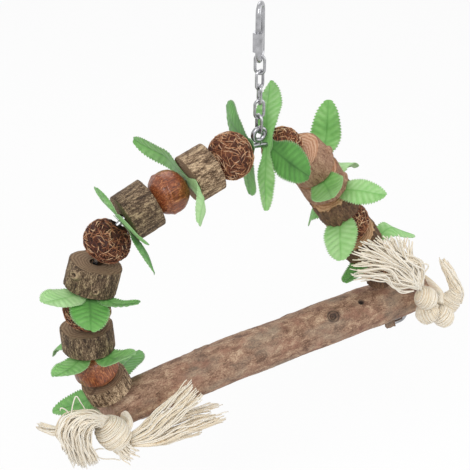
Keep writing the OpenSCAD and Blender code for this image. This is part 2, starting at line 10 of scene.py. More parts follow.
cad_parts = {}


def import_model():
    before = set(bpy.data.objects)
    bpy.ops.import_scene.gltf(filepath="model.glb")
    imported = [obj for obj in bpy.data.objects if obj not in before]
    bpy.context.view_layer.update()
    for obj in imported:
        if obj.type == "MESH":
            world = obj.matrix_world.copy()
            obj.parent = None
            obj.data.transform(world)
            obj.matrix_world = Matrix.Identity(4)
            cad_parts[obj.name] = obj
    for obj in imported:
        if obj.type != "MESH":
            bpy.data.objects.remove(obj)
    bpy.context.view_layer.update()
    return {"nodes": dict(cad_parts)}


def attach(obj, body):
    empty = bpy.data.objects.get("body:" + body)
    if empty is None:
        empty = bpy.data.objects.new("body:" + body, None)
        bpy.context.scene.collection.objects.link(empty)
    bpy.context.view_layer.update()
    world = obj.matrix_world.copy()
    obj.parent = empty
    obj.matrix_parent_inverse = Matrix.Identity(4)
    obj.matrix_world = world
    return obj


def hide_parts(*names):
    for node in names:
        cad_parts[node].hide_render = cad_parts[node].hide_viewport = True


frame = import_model()

MM = 0.001
scene = bpy.context.scene

# ---- camera

CAM_TURN, CAM_RISE = radians(31.8), radians(33.6)
CAM_FOCUS_PX, FRAME_PX, SENSOR_MM = 1400, 470, 36
CAM_DISTANCE = 1.076
CAM_TARGET = Vector((-0.021, 0, -0.185))

ahead = Vector((
    cos(CAM_RISE) * sin(CAM_TURN), cos(CAM_RISE) * cos(CAM_TURN), -sin(CAM_RISE),
))
right = Vector((cos(CAM_TURN), -sin(CAM_TURN), 0))
above = right.cross(ahead)
cam_place = CAM_TARGET - ahead * CAM_DISTANCE


def new_object(name, data):
    made = bpy.data.objects.new(name, data)
    scene.collection.objects.link(made)
    return made


camera = new_object("camera", bpy.data.cameras.new("camera"))
scene.camera = camera
camera.data.sensor_width = SENSOR_MM
camera.data.lens = CAM_FOCUS_PX * SENSOR_MM / FRAME_PX
camera.data.clip_start, camera.data.clip_end = 0.01, 20
camera.matrix_world = Matrix((right, above, -ahead)).transposed().to_4x4()
camera.location = cam_place


def seen_at(u, v, y):
    """The point in the plane of that y, in mm, which the camera sees at pixel (u, v), in metres."""
    ray = ahead + right * ((u - FRAME_PX / 2) / CAM_FOCUS_PX) + above * ((FRAME_PX / 2 - v) / CAM_FOCUS_PX)
    return cam_place + ray * ((y * MM - cam_place.y) / ray.y)


# ---- the strung wire, as in the part

ARCH_WIRE_D, EYE_OUTER_R, LEAF_ROOM, BEAD_GAP = 4, 7, 2.4, 0.3
BALL_D, BALL_LENGTH, SLICE_D, SLICE_LENGTH, BEAD_BORE = 36, 32, 39, 24, 10
CROWN_LEAN, APEX_Z = 10.5, -111.75
PERCH_LENGTH, PERCH_D, PERCH_BOW, PERCH_SHIFT, PERCH_Z = 310, 36, 3, 15, -305.626
LEAF_LENGTH, LEAF_WIDTH, LEAF_PITCH = 58, 29, 0.7

LEFT_KINDS = ["leaf", "ball", "slice"] * 5 + ["leaf"]
RIGHT_KINDS = "leaf ball slice leaf slice leaf slice leaf ball slice leaf ball slice".split()
LEFT_COUNTS = {"ball": 5, "slice": 5, "leaf": 6}
LENGTHS = {
    "ball": [BALL_LENGTH * share for share in (1, 0.9, 0.92, 0.93, 0.96, 0.86, 0.95, 0.88)],
    "slice": [SLICE_LENGTH * share for share in (0.88, 1, 0.88, 0.78, 0.56, 0.94, 0.88, 0.9, 0.92, 0.42)],
    "leaf": [LEAF_ROOM * share for share in (1.1, 1, 2.2, 1.3, 1.6, 1, 1.2, 2.2, 2.2, 1, 1)],
}
BALL_DS = [BALL_D * share for share in (1, 0.94, 0.97, 0.98, 1, 0.92, 0.97, 0.94)]
BALL_ROOMS = [BALL_LENGTH * share for share in (0.015, 0, 0.1, 0.03, 0.03, 0.1, 0, 0.04)]
SLICE_RS = [SLICE_D * share / 2 for share in (1, 0.98, 1, 1.02, 0.97, 0.97, 0.92, 0.95, 0.95, 0.72)]
SLICE_BORE_RS = [BEAD_BORE * share / 2 for share in (1, 1, 1, 1.15, 1.15, 1, 1, 1, 1, 1.1)]
SLICE_TILTS = {3: (10, -120), 4: (12, -120), 9: (12, 0)}
LEAF_TILTS = {0: (4, 0), 4: (6, -120), 5: (12, -120), 6: (8, 0)}
SLICE_RIPPLES = [(0.022, 2, 70), (0.014, 3, 130), (0.01, 5, 40)]
SLICE_STUBS = {2: [(200, -0.25, 1), (250, 0.15, 0.7)], 5: [(210, 0.1, 0.8)], 6: [(-130, 0, 1)]}
STUB_R, STUB_LENGTH = 3.5, 4
SAG_SHARE = 0.73
LEAF_SETS = [
    [(10, -14, 0.86, 0.7), (105, -20, 0.86, 0.95)],
    [(105, 20, 1, 0.85), (-90, 40, 0.95, 0.9)],
    [(-165, -8, 0.86, 0.75), (-112, -3, 0.95, 1), (-84, 16, 1, 0.75)],
    [(-160, -12, 0.86, 0.9), (-70, -30, 0.86, 0.6), (-115, 10, 0.86, 1)],
    [(-75, -30, 0.95, 0.8), (-150, -20, 0.8, 0.8), (110, 50, 0.86, 0.9)],
    [(160, -10, 0.86, 1), (40, 20, 0.86, 0.9)],
    [(-30, 4, 0.86, 0.7), (145, 10, 0.86, 1), (-88, 12, 0.86, 1)],
    [(150, -30, 1, 1), (-75, -30, 0.9, 1)],
    [(-120, 10, 0.86, 0.8), (140, 60, 1, 1)],
    [(-50, 10, 0.86, 1), (60, 60, 0.86, 0.9)],
    [(-30, -30, 0.75, 0.65), (180, 65, 1, 0.8)],
]
LEAF_OUTLINE = [
    (-0.12, 0.22), (-0.05, 0.36), (0.1, 0.4), (0.2, 0.56), (0.32, 0.82), (0.45, 0.98), (0.55, 1),
    (0.66, 0.93), (0.76, 0.78), (0.85, 0.57), (0.93, 0.32), (1, 0.05),
]
LEAF_FLAT_SHARE, LEAF_FOLD_SHARE, LEAF_BEND_SHARE = 0.08, 0.04, 0.2
PERCH_WIDTHS = [0.86, 0.88, 0.93, 0.97, 1, 1.01, 1, 0.99, 1.01, 1, 0.97, 0.93, 0.84]
PERCH_RIPPLES = [(0.018, 2, 400), (0.012, 3, 900)]
PERCH_SLANT, PERCH_SLANT_RUN = 0.16, 0.05


def row_places():
    """Side and middle of each piece on the wire, by kind and number, and the length of each arm's row."""
    places, runs = {}, {}
    for side, kinds in ((-1, LEFT_KINDS), (1, RIGHT_KINDS)):
        counts = {k: (0 if side < 0 else n) for k, n in LEFT_COUNTS.items()}
        run = EYE_OUTER_R - LEAF_ROOM / 4
        for kind in kinds:
            n = counts[kind]
            counts[kind] += 1
            length = LENGTHS[kind][n]
            places[kind, n] = side, run + length / 2
            run += length + BEAD_GAP + (BALL_ROOMS[n] if kind == "ball" else 0)
        runs[side] = run
    return places, runs


PLACES, ARM_RUNS = row_places()
ARMS = {
    -1: [(34, 75), (70, 0), (50, 57), (ARM_RUNS[-1] - 154, 141)],
    1: [(52, 76), (23, 126), (ARM_RUNS[1] - 75, 0)],
}


def on_wire(side, s):
    """Distance out, height and slope of an arm's wire after a run of s."""
    x, z, slope = 0.0, APEX_Z, side * CROWN_LEAN
    for i, (run, r) in enumerate(ARMS[side]):
        step = s if i == len(ARMS[side]) - 1 else min(s, run)
        a = radians(slope)
        if r == 0:
            x, z = x + step * cos(a), z - step * sin(a)
        else:
            b = a + step / r
            x, z = x + r * (sin(b) - sin(a)), z + r * (cos(b) - cos(a))
            slope = math.degrees(b)
        s -= step
        if s <= 0:
            break
    return x, z, slope


def wire_frame(kind, n, drop=0.0, tilt=(0, 0)):
    """Matrix that stands a piece on the wire, in mm: +Z runs down it and +X points inside the arch."""
    side, s = PLACES[kind, n]
    x, z, slope = on_wire(side, s)
    turn = radians(tilt[1])
    return (
        Matrix.Diagonal((side, 1, 1, 1))
        @ Matrix.Translation((x, 0, z))
        @ Matrix.Rotation(radians(90 + slope), 4, "Y")
        @ Matrix.Translation((drop * cos(radians(slope)), 0, 0))
        @ Matrix.Rotation(turn, 4, "Z")
        @ Matrix.Rotation(radians(tilt[0]), 4, "Y")
        @ Matrix.Rotation(-turn, 4, "Z")
    )


BEAD_SAG = SAG_SHARE * (BEAD_BORE - ARCH_WIRE_D) / 2

# ---- small helpers


def clamp(x):
    return min(1.0, max(0.0, x))


def smooth(x):
    """A soft step from 0 to 1."""
    x = clamp(x)
    return x * x * (3 - 2 * x)


def table_value(xs, ys, x):
    """A smooth curve through the points of a table."""
    if x <= xs[0]:
        return ys[0]
    if x >= xs[-1]:
        return ys[-1]
    i = max(k for k in range(len(xs) - 1) if xs[k] <= x)
    h = xs[i + 1] - xs[i]
    t = (x - xs[i]) / h

    def slope(k):
        a, b = max(k - 1, 0), min(k + 1, len(xs) - 1)
        return (ys[b] - ys[a]) / (xs[b] - xs[a])

    t2, t3 = t * t, t * t * t
    return (
        (2 * t3 - 3 * t2 + 1) * ys[i] + (t3 - 2 * t2 + t) * h * slope(i)
        + (3 * t2 - 2 * t3) * ys[i + 1] + (t3 - t2) * h * slope(i + 1)
    )


def rough(p, scale, octaves=3):
    """Fractal noise between about -1 and 1 at a point in mm, with features of that size."""
    return noise.fractal(Vector(p) / scale, 1.0, 2.0, octaves, noise_basis="PERLIN_ORIGINAL")


def ripple(ripples, degrees, place):
    """A sum of waves round a piece, each with its height, count and twist along the piece."""
    return sum(a * sin(radians(n * degrees + turn * place)) for a, n, turn in ripples)


def along(at, places, x):
    """The place at x on a smooth curve through places that stand at given values of x."""
    return [table_value(at, axis, x) for axis in zip(*places)]


def path_points(points, count):
    """Evenly spread points on a smooth curve through a few."""
    at = [0.0]
    for a, b in zip(points, points[1:]):
        at.append(at[-1] + max((b - a).length, 1e-6))
    return [Vector(along(at, points, at[-1] * i / (count - 1))) for i in range(count)]


def polar(r, a, z):
    return Vector((r * cos(a), r * sin(a), z))


def heading(path, i, j):
    """The way from one point of a path to another, either of which may lie past its end."""
    return (path[min(j, len(path) - 1)] - path[max(i, 0)]).normalized()


def turned(across, over, a):
    return across * cos(a) + over * sin(a)


class Build:
    """Points and faces of one piece, with a few values for its material at each point."""

    def __init__(self):
        self.points, self.faces, self.place, self.tone, self.part = [], [], [], [], []

    def add(self, point, place, tone=0.5, part=0.0):
        self.points.append(tuple(point))
        self.place.append(tuple(place))
        self.tone.append(tone)
        self.part.append(part)
        return len(self.points) - 1

    def grid(self, rows, closed=True, flip=False):
        """Faces between rows of point numbers."""
        for a, b in zip(rows, rows[1:]):
            n = len(a)
            for i in range(n if closed else n - 1):
                j = (i + 1) % n
                face = (a[i], a[j], b[j], b[i])
                self.faces.append(face[::-1] if flip else face)

    def tube(self, path, radius, tone, taper=0.0, sides=5, place=None):
        """A strand of a radius in mm along points in metres. A taper of 1 thins its ends to a fifth."""
        rows, reference = [], Vector((0.3, 0.5, 0.8)).normalized()
        last = len(path) - 1
        for i, p in enumerate(path):
            way = heading(path, i - 1, i + 1)
            across = way.cross(reference)
            if across.length < 0.05:
                across = way.cross(Vector((1, 0, 0)))
            across.normalize()
            over = way.cross(across)
            end = min(i, last - i) / max(1.0, 0.35 * last)
            r = radius * MM * (1 - taper * (1 - min(1.0, end)) ** 2 * 0.8)
            rows.append([
                self.add(p + turned(across, over, a) * r, place[i] if place else p / MM, tone)
                for a in (tau * k / sides for k in range(sides))
            ])
        self.grid(rows, flip=True)
        self.faces.append(tuple(rows[0]))
        self.faces.append(tuple(rows[-1][::-1]))

    def piece(self, name, node, slot, material, side=1):
        """The mesh seen in place of a node, mirrored on the left. Balls and slices have their own bodies."""
        mesh = bpy.data.meshes.new(name)
        mesh.from_pydata(self.points, [], [f[::-1] for f in self.faces] if side < 0 else self.faces)
        mesh.polygons.foreach_set("use_smooth", [True] * len(mesh.polygons))
        place = mesh.attributes.new("place", "FLOAT_VECTOR", "POINT")
        place.data.foreach_set("vector", [x for p in self.place for x in p])
        for label, values in (("tone", self.tone), ("part", self.part)):
            mesh.attributes.new(label, "FLOAT", "POINT").data.foreach_set("value", values)
        mesh.update()
        mesh.materials.append(material)
        made = new_object(name, mesh)
        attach(made, node + "_body" if node.startswith(("ball", "slice")) else "swing")
        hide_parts(node)


# ---- materials

# the colour mix node has its sockets for factor, A, B and result by number
MIX_INPUTS, MIX_OUTPUT = (0, 6, 7), 2


def tint(*value):
    """A colour as nodes take it, from a linear grey, from sRGB numbers up to 255, or as it is."""
    if len(value) == 1:
        value *= 3
    elif len(value) == 3:
        value = tuple(c / 255 / 12.92 if c < 11 else ((c / 255 + 0.055) / 1.055) ** 2.4 for c in value)
    return value if len(value) == 4 else (*value, 1.0)


class Nodes:
    """A node tree, built a node at a time."""

    def __init__(self, tree):
        self.tree, self.nodes = tree, tree.nodes

    def feed(self, socket, value):
        """Puts a fixed value or the output of a node into a socket."""
        if isinstance(value, (int, float, tuple)):
            socket.default_value = value
        else:
            self.tree.links.new(value, socket)

    def fill(self, node, **inputs):
        for name, value in inputs.items():
            self.feed(node.inputs[name.replace("_", " ")], value)
        return node

    def node(self, kind, **inputs):
        return self.fill(self.nodes.new("ShaderNode" + kind), **inputs)

    def calc(self, a, b, mode="ADD"):
        made = self.node("Math")
        made.operation = mode
        for socket, value in zip(made.inputs, (a, b)):
            self.feed(socket, value)
        return made.outputs[0]

    def seen(self):
        """1 for rays from the camera, off a mirror or through glass, else 0."""
        rays = self.node("LightPath").outputs
        indirect = self.calc(rays["Is Glossy Ray"], rays["Is Transmission Ray"], "MAXIMUM")
        return self.calc(rays["Is Camera Ray"], indirect, "MAXIMUM")

    def shader_mix(self, factor, a, b):
        made = self.node("MixShader", Fac=factor)
        for socket, shader in zip(made.inputs[1:], (a, b)):
            self.tree.links.new(shader.outputs[0], socket)
        return made.outputs[0]


class Look(Nodes):
    """A procedural material."""

    def __init__(self, name, roughness, **inputs):
        self.material = bpy.data.materials.new(name)
        self.material.use_nodes = True
        super().__init__(self.material.node_tree)
        self.shader = self.fill(self.nodes["Principled BSDF"], Roughness=roughness, **inputs)

    def attribute(self, name, output="Fac"):
        made = self.node("Attribute")
        made.attribute_name = name
        return made.outputs[output]

    def place(self, stretch, source=None):
        source = source or self.attribute("place", "Vector")
        return self.node("Mapping", Vector=source, Scale=stretch).outputs["Vector"]

    def noise(self, scale, detail, stretch=(1, 1, 1), roughness=0.55, distortion=0.0, source=None):
        made = self.node("TexNoise", Vector=self.place(stretch, source), Scale=scale, Detail=detail)
        return self.fill(made, Roughness=roughness, Distortion=distortion).outputs["Fac"]

    def object_noise(self, scale, detail):
        return self.noise(1, detail, (scale,) * 3, source=self.node("TexCoord").outputs["Object"])

    def cells(self, scale, stretch):
        return self.node("TexVoronoi", Vector=self.place(stretch), Scale=scale).outputs["Distance"]

    def blend(self, a, b, share):
        """A share of one value and the rest of another."""
        return self.calc(self.calc(a, share, "MULTIPLY"), self.calc(b, 1 - share, "MULTIPLY"))

    def vary(self, value, other, share):
        """A value moved up or down by a share of another, whose middle is 0.5."""
        return self.calc(value, self.calc(self.calc(other, 0.5, "SUBTRACT"), share, "MULTIPLY"))

    def ramp(self, factor, *stops):
        """Colours along a factor. Each stop is its place and then a colour for tint."""
        made = self.node("ValToRGB", Fac=factor)
        elements = made.color_ramp.elements
        while len(elements) < len(stops):
            elements.new(0.5)
        for element, (at, *colour) in zip(elements, stops):
            element.position, element.color = at, tint(*colour)
        return made.outputs["Color"]

    def mix(self, factor, a, b):
        made = self.node("Mix")
        made.data_type = "RGBA"
        for socket, value in zip(MIX_INPUTS, (factor, a, b)):
            self.feed(made.inputs[socket], value)
        return made.outputs[MIX_OUTPUT]

    def finish(self, colour, relief, gloss=()):
        """Joins colour, relief (height, strength, distance in mm) and roughness (factor, low, high)."""
        height, strength, distance = relief
        bump = self.node("Bump", Height=height, Strength=strength, Distance=distance * MM)
        self.fill(self.shader, Base_Color=colour, Normal=bump.outputs["Normal"])
        if gloss:
            spread = self.node("MapRange", Value=gloss[0], To_Min=gloss[1], To_Max=gloss[2])
            self.fill(self.shader, Roughness=spread.outputs["Result"])
        return self.material


def steel_look(name, low, high):
    look = Look(name, 0.25, Metallic=1.0)
    colour = look.ramp(look.object_noise(180, 3), (0.3, *low), (0.7, *high))
    gloss = look.object_noise(420, 4), 0.16, 0.38
    return look.finish(colour, (look.object_noise(2600, 2), 0.12, 0.05), gloss)


def fibre_look(name, *stops):
    look = Look(name, 0.7)
    tone = look.vary(look.attribute("tone"), look.noise(1.6, 4), 0.5)
    return look.finish(look.ramp(tone, *stops), (look.noise(3.5, 3), 0.5, 0.3))


def nut_look(name):
    look = Look(name, 0.4, Coat_Weight=0.25)
    streaks = look.noise(0.9, 5, (1, 1, 0.12), 0.62, 0.6)
    fine = look.noise(3.2, 4, (1, 1, 0.07), 0.6)
    both = look.blend(streaks, fine, 0.62)
    base = look.ramp(
        both, (0.35, 58, 24, 10), (0.45, 114, 54, 25), (0.54, 156, 84, 44), (0.65, 218, 152, 100),
    )
    spots = look.ramp(look.noise(0.16, 3), (0.27, 0), (0.34, 1))
    return look.finish(look.mix(spots, tint(84, 40, 24), base), (both, 0.7, 0.5), (fine, 0.3, 0.62))


def bark_look(name, speck, sawn_stops, *stops):
    """Bark on the round side and a sawn face at the ends: part runs from 0 on bark to 1 on a sawn face."""
    look = Look(name, 0.85)
    ridges = look.noise(1.05, 6, (1, 1, 0.38), 0.72, 0.3)
    flakes = look.noise(1.7, 5, (1, 1, 0.6), 0.65)
    both = look.vary(look.blend(ridges, flakes, 0.6), look.attribute("tone"), 0.2)
    specks = look.ramp(look.cells(0.32, (1, 1, 0.8)), (0.1, 1), (0.24, 0))
    bare = look.mix(look.ramp(flakes, (0.5, 0), (0.62, 0.8)), tint(0), specks)
    bark = look.mix(bare, look.ramp(both, *stops), tint(*speck))
    sawn = look.blend(look.attribute("tone"), look.noise(1.1, 4), 0.5)
    part = look.attribute("part")
    colour = look.mix(part, bark, look.ramp(sawn, *sawn_stops))
    return look.finish(colour, (look.mix(part, both, sawn), 0.9, 0.9), (flakes, 0.75, 0.95))


def perch_look(name):
    look = Look(name, 0.7)
    broad = look.noise(0.05, 3, (0.5, 1, 1), 0.5)
    mottle = look.noise(0.16, 6, (0.55, 1, 1), 0.66, 0.5)
    fine = look.noise(1.1, 4, (0.6, 1, 1), 0.6)
    both = look.blend(mottle, fine, 0.6)
    base = look.ramp(
        both, (0.37, 84, 56, 43), (0.45, 130, 98, 78), (0.53, 164, 130, 106), (0.63, 206, 178, 150),
    )
    green = look.ramp(broad, (0.52, 0), (0.7, 0.5))
    base = look.mix(green, base, tint(158, 148, 130))
    pink = look.ramp(look.noise(0.09, 4, (0.7, 1, 1)), (0.52, 0), (0.68, 0.5))
    base = look.mix(pink, base, tint(158, 112, 92))
    pits = look.ramp(look.noise(0.8, 5, (0.7, 1, 1), 0.7), (0.33, 0.8), (0.41, 0))
    base = look.mix(pits, base, tint(74, 55, 48))
    # The tone darkens the bark: dark knot rings of grain, and painted shade in the deep knot hole and the
    # twig's broken end.
    base = look.mix(look.attribute("tone"), base, tint(44, 32, 26))
    sawn = look.ramp(look.noise(0.5, 5), (0.35, 166, 128, 110), (0.65, 205, 170, 150))
    return look.finish(look.mix(look.attribute("part"), base, sawn), (both, 0.55, 0.8), (fine, 0.6, 0.85))


def leaf_look(name):
    look = Look(name, 0.55, Sheen_Weight=0.15)
    cloth = look.noise(2.4, 3)
    tone = look.vary(look.attribute("tone"), look.noise(0.06, 3), 0.5)
    tone = look.vary(tone, cloth, 0.12)
    base = look.ramp(
        tone, (0.1, 58, 110, 46), (0.36, 96, 162, 74), (0.58, 134, 196, 108), (0.86, 186, 228, 162),
    )
    return look.finish(look.mix(look.attribute("part"), base, tint(196, 226, 176)), (cloth, 0.3, 0.2))


def cotton_look(name):
    look = Look(name, 0.9, Sheen_Weight=0.3)
    tone = look.blend(look.attribute("tone"), look.noise(0.35, 3), 0.65)
    colour = look.ramp(tone, (0.12, 214, 190, 152), (0.36, 238, 223, 197), (0.7, 251, 244, 230))
    return look.finish(colour, (look.noise(4.5, 3), 0.5, 0.2))


LINK_STEEL = steel_look("link_steel_look", (0.3, 0.3, 0.31, 1), (0.52, 0.52, 0.54, 1))
WIRE_STEEL = steel_look("wire_steel_look", (0.26, 0.26, 0.27, 1), (0.44, 0.44, 0.46, 1))
HUSK = fibre_look(
    "husk_look",
    (0.05, 40, 18, 10), (0.3, 90, 45, 26), (0.55, 150, 90, 58), (0.8, 212, 154, 110), (1, 250, 216, 178),
)
DARK_HUSK = fibre_look(
    "dark_husk_look",
    (0.05, 30, 12, 8), (0.35, 74, 34, 22), (0.6, 122, 66, 43), (0.85, 188, 128, 90), (1, 230, 188, 150),
)
NUT = nut_look("nut_look")
SAWN = [(0.35, 176, 132, 96), (0.5, 205, 165, 125), (0.65, 226, 190, 152)]
PINK_SAWN = [(0.33, 184, 122, 92), (0.5, 220, 170, 138), (0.65, 238, 202, 172)]
DULL_SAWN = [(0.35, 112, 88, 66), (0.5, 142, 116, 90), (0.65, 168, 142, 114)]
TAN_BARK = bark_look(
    "tan_bark_look", (184, 156, 122), DULL_SAWN,
    (0.39, 48, 33, 22), (0.45, 94, 71, 51), (0.51, 138, 112, 86), (0.59, 212, 186, 152),
)
GREY_BARK = bark_look(
    "grey_bark_look", (176, 158, 128), DULL_SAWN,
    (0.39, 38, 27, 20), (0.46, 78, 59, 44), (0.52, 112, 90, 70), (0.6, 182, 158, 126),
)
PALE_BARK = bark_look(
    "pale_bark_look", (214, 184, 160), PINK_SAWN,
    (0.34, 96, 66, 50), (0.45, 142, 104, 82), (0.56, 178, 140, 114), (0.68, 206, 172, 146),
)
DARK_BARK = bark_look(
    "dark_bark_look", (140, 108, 78), SAWN,
    (0.34, 44, 28, 20), (0.45, 84, 60, 44), (0.55, 118, 88, 64), (0.68, 156, 122, 88),
)
PERCH_LOOK = perch_look("perch_look")
LEAF_LOOK = leaf_look("leaf_look")
COTTON = cotton_look("cotton_look")

# ---- metal, straight from the frame

for node_name, node in frame["nodes"].items():
    if node_name.startswith(("quick", "chain", "arch")):
        node.data.materials.clear()
        node.data.materials.append(WIRE_STEEL if node_name == "arch_wire" else LINK_STEEL)

# ---- husk balls

HUSK_STRANDS = 1500
SMOOTH_NUTS, DARK_BALLS = (1, 4), (2, 3)
BALL_SEED = 50


def ball_point(d, length, way, lift):
    """The point of a ball's skin that lies in a direction from its middle, and lies that much proud of it."""
    lat = math.asin(max(-1.0, min(1.0, way.z)))
    lon = math.atan2(way.y, way.x)
    r = (d - length) / 2 + (length / 2 + lift) * cos(lat)
    return polar(r, lon, (length / 2 + lift) * sin(lat))


def ball_skin(build, matrix, d, length, seed, lift_of, tone_of, columns, rows):
    """A ball's closed skin with its bore."""
    top = math.acos(clamp((BEAD_BORE - (d - length)) / length))
    grid = []
    for i in range(rows + 1):
        lat = -top + 2 * top * i / rows
        row = []
        for k in range(columns):
            lon = tau * k / columns
            way = polar(cos(lat), lon, sin(lat))
            p = ball_point(d, length, way, 0)
            lift = lift_of(p, lat, lon) * smooth((top - abs(lat)) / 0.2)
            q = ball_point(d, length, way, lift)
            row.append(build.add(matrix @ q * MM, q + Vector((seed, 0, 0)), tone_of(p)))
        grid.append(row)
    # The bore walls get tone 0, a husk ball's darkest colour: painted shade inside the bore.
    for share in (0.6, 0, -0.6):
        edge = length / 2 * sin(top) * share
        bore = [polar(BEAD_BORE / 2, tau * k / columns, edge) for k in range(columns)]
        grid.append([build.add(matrix @ q * MM, q, 0.0) for q in bore])
    build.grid(grid + [grid[0]])


def husk_ball(n):
    rng = random.Random(100 + n)
    d, length = BALL_DS[n], LENGTHS["ball"][n]
    matrix = wire_frame("ball", n, BEAD_SAG)
    side = PLACES["ball", n][0]
    build = Build()
    if n in SMOOTH_NUTS:
        def lift(p, lat, lon):
            band = 0.7 * math.exp(-(((lat - 0.25 + 0.12 * sin(lon * 2 + n)) / 0.1) ** 2))
            return band - 0.4 + 0.5 * rough(p, 9) + 0.12 * rough((p.x, p.y, p.z * 0.2), 1.6)

        ball_skin(build, matrix, d, length, BALL_SEED * n, lift, lambda p: 0.5, 120, 72)
        build.piece(f"nut_ball_{n + 1}", f"ball_{n + 1}", "smooth_nut", NUT, side)
        return

    def lift(p, lat, lon):
        return 0.5 * rough(p, 6) - 0.6

    # The skin sunk under the strands is dark brown: painted shade in the gaps between the strands.
    ball_skin(build, matrix, d, length, BALL_SEED * n, lift, lambda p: 0.25 + 0.2 * rough(p, 3), 64, 36)
    for k in range(HUSK_STRANDS):
        way = Vector([rng.gauss(0, 1) for _ in range(3)]).normalized()
        onward = way.cross(Vector([rng.gauss(0, 1) for _ in range(3)])).normalized()
        step = rng.uniform(0.05, 0.1)
        curl = rng.uniform(-0.2, 0.2)
        high = rng.uniform(-0.6, 0.25)
        # Strands lying deeper are darker and the highest are lightest: painted shade among the strands.
        tone = min(1.0, max(0.1, rng.gauss(0.56, 0.2) + 0.6 * (high + 0.2)))
        count = rng.randint(4, 7)
        path, place = [], []
        for i in range(count):
            flat = hypot(way.x, way.y) * length / 2 + (d - length) / 2
            if flat < BEAD_BORE / 2 + 1.2:
                break
            q = ball_point(d, length, way, high + 0.5 * sin(pi * i / (count - 1)) - 0.35)
            path.append(matrix @ q * MM)
            place.append(q + Vector((BALL_SEED * n, 7 * k, 0)))
            turn = Matrix.Rotation(step, 3, way.cross(onward))
            way, onward = (turn @ way).normalized(), (turn @ onward).normalized()
            onward = (Matrix.Rotation(curl, 3, way) @ onward).normalized()
        if len(path) > 4:
            build.tube(path, rng.uniform(0.2, 0.36), tone, 1.0, 3, place)
    look = DARK_HUSK if n in DARK_BALLS else HUSK
    build.piece(f"husk_ball_{n + 1}", f"ball_{n + 1}", "husk", look, side)


for number in range(len(BALL_DS)):
    husk_ball(number)

# ---- branch slices

SLICE_COLUMNS, SLICE_ROWS, FACE_RINGS, SLICE_SEED = 150, 26, 26, 40
EDGE, RIM_INSET, END_INSET, RING_PITCH = 0.012, 0.35, 0.15, 2.3
BARKS = [TAN_BARK, *[GREY_BARK] * 3, TAN_BARK, *[PALE_BARK] * 2, *[DARK_BARK] * 3]
RIDGE_DEPTHS = [0.3, 0.35, 0.35, 0.3, 0.3, 0.4, 0.4, 1.0, 1.0, 0.8]
CHIPS = {6: 1.5, 7: 4.5, 8: 4.0, 9: 2.5}
CRACKED = (0, 4, 5)


